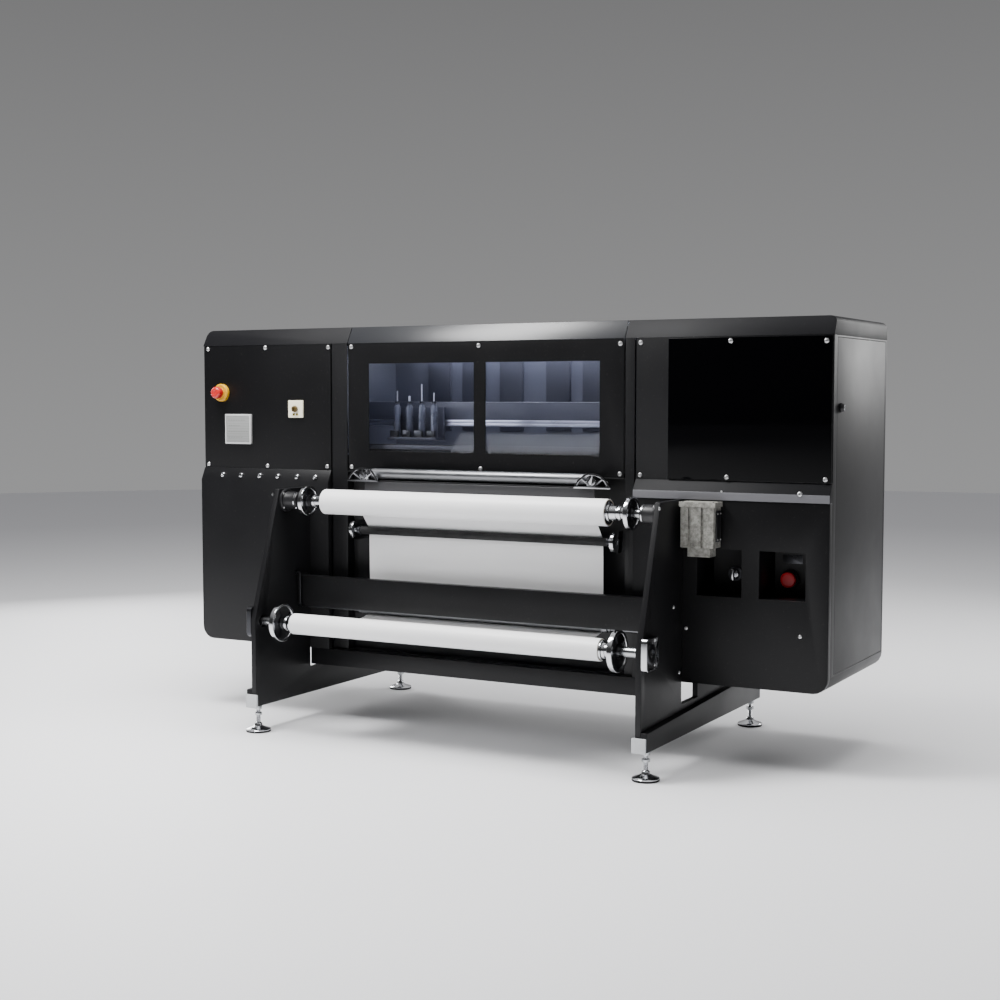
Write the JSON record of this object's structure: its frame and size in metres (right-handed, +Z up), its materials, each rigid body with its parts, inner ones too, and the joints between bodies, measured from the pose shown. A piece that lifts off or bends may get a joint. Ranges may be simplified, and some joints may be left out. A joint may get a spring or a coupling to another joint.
{
  "type": "roll-to-roll wide-format printer",
  "caption": "Floor-standing roll-to-roll wide-format printer: wide black cabinet with a windowed print bay, feed and take-up rolls on a two-legged stand, side service door.",
  "frame": {"origin": "on the floor under the middle of the bounding box", "axes": "+X along the cabinet, to the right seen from the front; +Y to the back; +Z up"},
  "size_m": [2.316, 0.977, 1.342],
  "materials": {
    "dark_sheet": "satin black powder coat",
    "black_sheet": "satin black powder coat",
    "grey_sheet": "satin grey powder coat",
    "ledge_grey": "satin grey powder coat",
    "screen_grey": "satin",
    "black_gloss": "polished acrylic",
    "clear_pane": "clear tinted acrylic",
    "chrome": "polished",
    "steel": "fine turned",
    "aluminium": "anodised",
    "cast_grey": "weathered grey casting",
    "liner": "matt grey",
    "media_white": "matt white web",
    "core_card": "wound white media and core",
    "rubber_black": "matt",
    "black_plastic": "moulded satin",
    "yellow": "moulded",
    "red": "moulded",
    "cream": "moulded",
    "cap_white": "moulded"
  },
  "bodies": {
    "machine": {"leg_plate_right": "dark_sheet", "leg_plate_left": "dark_sheet", "foot_beam_right": "dark_sheet", "foot_beam_left": "dark_sheet", "beam_cap_right": "cap_white", "beam_cap_left": "cap_white", "foot_front_right": "chrome", "foot_front_left": "chrome", "foot_rear_right": "chrome", "foot_rear_left": "chrome", "cross_beam": "dark_sheet", "cross_member_low": "dark_sheet", "cabinet_shell": "dark_sheet", "back_panel": "dark_sheet", "cover_left": "dark_sheet", "cover_centre": "grey_sheet", "cover_right": "dark_sheet", "centre_frame": "dark_sheet", "panel_upper_left": "black_sheet", "panel_upper_right": "dark_sheet", "window_panel": "black_sheet", "window_pane": "clear_pane", "black_window": "black_gloss", "panel_lower_left": "dark_sheet", "panel_lower_right": "dark_sheet", "ledge_strip": "ledge_grey", "recess_box_left": "black_sheet", "recess_box_right": "black_sheet", "stop_collar": "yellow", "display": "screen_grey", "key_plate": "cream", "recess_button_base": "black_plastic", "supply_bearing_right": "black_plastic", "supply_bearing_left": "black_plastic", "takeup_housing_right": "black_plastic", "takeup_housing_left": "black_plastic", "idler_bracket_right": "chrome", "idler_bracket_left": "chrome", "media_web": "media_white", "arch_bracket_right": "chrome", "arch_bracket_left": "chrome", "apron_bar": "dark_sheet", "feed_motor": "cast_grey", "print_bay": "liner", "platen": "aluminium", "gantry_beam": "aluminium"},
    "service_door": {"service_door": "dark_sheet"},
    "door_latch": {"door_latch": "black_plastic"},
    "supply_roll": {"supply_tube": "core_card", "supply_shaft": "chrome"},
    "takeup_roll": {"takeup_tube": "core_card", "takeup_shaft": "chrome"},
    "idler": {"idler_roller": "rubber_black"},
    "tension_roller": {"tension_bar": "steel"},
    "guide": {"guide_roller": "chrome"},
    "carriage": {"print_carriage": "steel"},
    "stop_head": {"stop_button": "red"},
    "recess_stop_head": {"recess_button": "red"},
    "key_knob": {"key_switch": "black_plastic"},
    "recess_key": {"turn_key": "chrome"}
  },
  "joints": [
    {"name": "service_door_hinge", "type": "hinge", "parent": "machine", "child": "service_door", "pos_m": [1.143, 0.4025, 0.787], "axis": [0, 0, 1], "range_deg": [0, 110]},
    {"name": "door_latch_turn", "type": "hinge", "parent": "service_door", "child": "door_latch", "pos_m": [1.1434, -0.0785, 1.0755], "axis": [1, 0, 0], "range_deg": [0, 90]},
    {"name": "supply_roll_spin", "type": "hinge", "parent": "machine", "child": "supply_roll", "pos_m": [-0.007, -0.2975, 0.761], "axis": [1, 0, 0], "continuous": true},
    {"name": "takeup_roll_spin", "type": "hinge", "parent": "machine", "child": "takeup_roll", "pos_m": [-0.007, -0.4265, 0.368], "axis": [1, 0, 0], "continuous": true},
    {"name": "idler_spin", "type": "hinge", "parent": "machine", "child": "idler", "pos_m": [-0.007, -0.1775, 0.66], "axis": [1, 0, 0], "continuous": true},
    {"name": "tension_roller_spin", "type": "hinge", "parent": "machine", "child": "tension_roller", "pos_m": [-0.007, -0.1735, 0.39], "axis": [1, 0, 0], "continuous": true},
    {"name": "guide_roller_spin", "type": "hinge", "parent": "machine", "child": "guide", "pos_m": [-0.007, -0.1935, 0.853], "axis": [1, 0, 0], "continuous": true},
    {"name": "carriage_travel", "type": "slide", "parent": "machine", "child": "carriage", "axis": [1, 0, 0], "range_m": [-0.15, 0.73]},
    {"name": "stop_button_press", "type": "slide", "parent": "machine", "child": "stop_head", "axis": [0, 1, 0], "range_m": [0, 0.005], "stiffness_N_per_m": 1500},
    {"name": "recess_button_press", "type": "slide", "parent": "machine", "child": "recess_stop_head", "axis": [0, 1, 0], "range_m": [0, 0.005], "stiffness_N_per_m": 1500},
    {"name": "key_switch_turn", "type": "hinge", "parent": "machine", "child": "key_knob", "pos_m": [-0.7519, -0.155, 1.0651], "axis": [0, 1, 0], "range_deg": [-45, 45]},
    {"name": "recess_key_turn", "type": "hinge", "parent": "machine", "child": "recess_key", "pos_m": [0.8065, -0.03, 0.566], "axis": [0, 1, 0], "range_deg": [-90, 90]}
  ]
}
